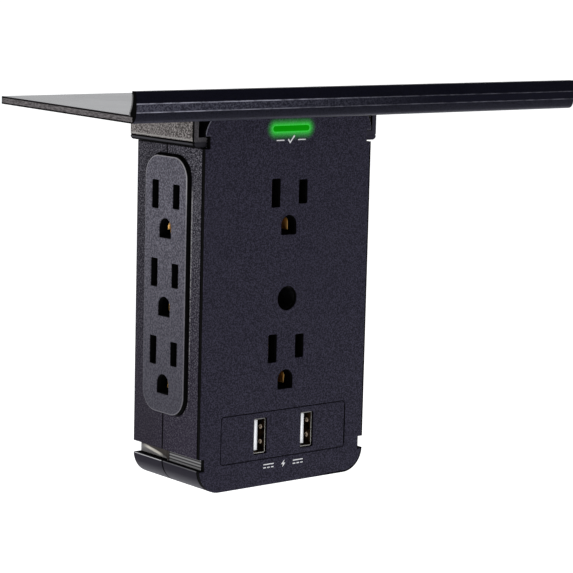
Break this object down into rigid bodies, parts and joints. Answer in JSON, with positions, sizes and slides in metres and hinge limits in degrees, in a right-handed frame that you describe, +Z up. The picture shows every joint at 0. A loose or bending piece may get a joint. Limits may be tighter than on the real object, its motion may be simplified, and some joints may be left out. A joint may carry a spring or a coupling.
{
  "type": "plug-in surge protector",
  "caption": "Wall-tap surge protector with outlets on its front and sides, charging sockets, a status light and a slide-on shelf; plugs in and is held by a centre screw.",
  "frame": {"origin": "on the mounting screw's axis, in the plane of the wall plate", "axes": "+X right seen from the front, +Y into the wall along the mounting screw, +Z up towards the shelf"},
  "size_m": [0.2006, 0.1055, 0.1501],
  "materials": {
    "dark_shell": "fine texture, black",
    "panel_black": "fine grain satin black",
    "strip_black": "fine grain, slightly lighter black",
    "shelf_black": "matte black",
    "lip_black": "gloss black",
    "bracket_black": "coarse texture, black",
    "lens_green": "translucent green",
    "led_clear": "clear resin",
    "carrier_black": "heat-resistant black",
    "brass": "stamped",
    "blade_brass": "rolled",
    "pin_plastic": "satin",
    "steel": "zinc plated",
    "usb_steel": "nickel plated",
    "tongue_white": "black insulator",
    "contact_gold": "gold flash",
    "board_green": "solder mask",
    "varistor_blue": "epoxy coat",
    "fuse_body": "ceramic",
    "film_yellow": "film capacitor box",
    "ferrite": "ferrite",
    "copper": "enamelled copper",
    "can_black": "sleeved can",
    "lead_black": "insulated lead",
    "lead_white": "insulated lead",
    "lead_green": "insulated lead"
  },
  "bodies": {
    "housing": {"rear_shell": "dark_shell", "front_shell": "dark_shell", "front_panel": "panel_black", "left_outlet_strip": "strip_black", "right_outlet_strip": "strip_black", "left_contact_carrier": "carrier_black", "right_contact_carrier": "carrier_black", "upper_contact_carrier": "carrier_black", "lower_contact_carrier": "carrier_black", "hot_blade": "blade_brass", "neutral_blade": "blade_brass", "ground_pin": "blade_brass", "stabiliser_pin": "pin_plastic", "prong_block": "carrier_black", "case_screws": "steel", "board_screws": "steel", "led_lens": "lens_green", "status_led": "led_clear", "surge_board": "board_green", "line_varistor": "varistor_blue", "neutral_varistor": "varistor_blue", "ground_varistor": "varistor_blue", "thermal_fuse": "fuse_body", "x_capacitor": "film_yellow", "choke_core": "ferrite", "choke_winding": "copper", "usb_board": "board_green", "transformer_core": "ferrite", "transformer_winding": "copper", "bulk_capacitor": "can_black", "output_capacitor": "can_black", "hot_lead": "lead_black", "neutral_lead": "lead_white", "ground_lead": "lead_green", "usb_left_shell": "usb_steel", "usb_left_tongue": "tongue_white", "usb_left_contacts": "contact_gold", "usb_right_shell": "usb_steel", "usb_right_tongue": "tongue_white", "usb_right_contacts": "contact_gold", "left_hot_bus": "brass", "left_neutral_bus": "brass", "left_ground_bus": "brass", "right_hot_bus": "brass", "right_neutral_bus": "brass", "right_ground_bus": "brass", "front_hot_bus": "brass", "front_neutral_bus": "brass", "front_ground_bus": "brass"},
    "retainer": {"screw_retainer": "pin_plastic"},
    "screw": {"mounting_screw": "steel"},
    "shelf": {"shelf_board": "shelf_black", "shelf_lip": "lip_black", "shelf_bracket": "bracket_black", "shelf_screws": "steel"}
  },
  "joints": [
    {"name": "shelf_slide", "type": "slide", "parent": "housing", "child": "shelf", "axis": [0, -1, 0], "range_m": [0, 0.045]},
    {"name": "screw_advance", "type": "slide", "parent": "housing", "child": "retainer", "axis": [0, 1, 0], "range_m": [-0.00476, 0]},
    {"name": "screw_turn", "type": "hinge", "parent": "retainer", "child": "screw", "pos_m": [0, 0, 0], "axis": [0, 1, 0], "range_deg": [-2161, 0]}
  ],
  "couplings": [
    {"joint": "screw_turn", "follows": "screw_advance", "rad_per_m": 7915.8}
  ]
}
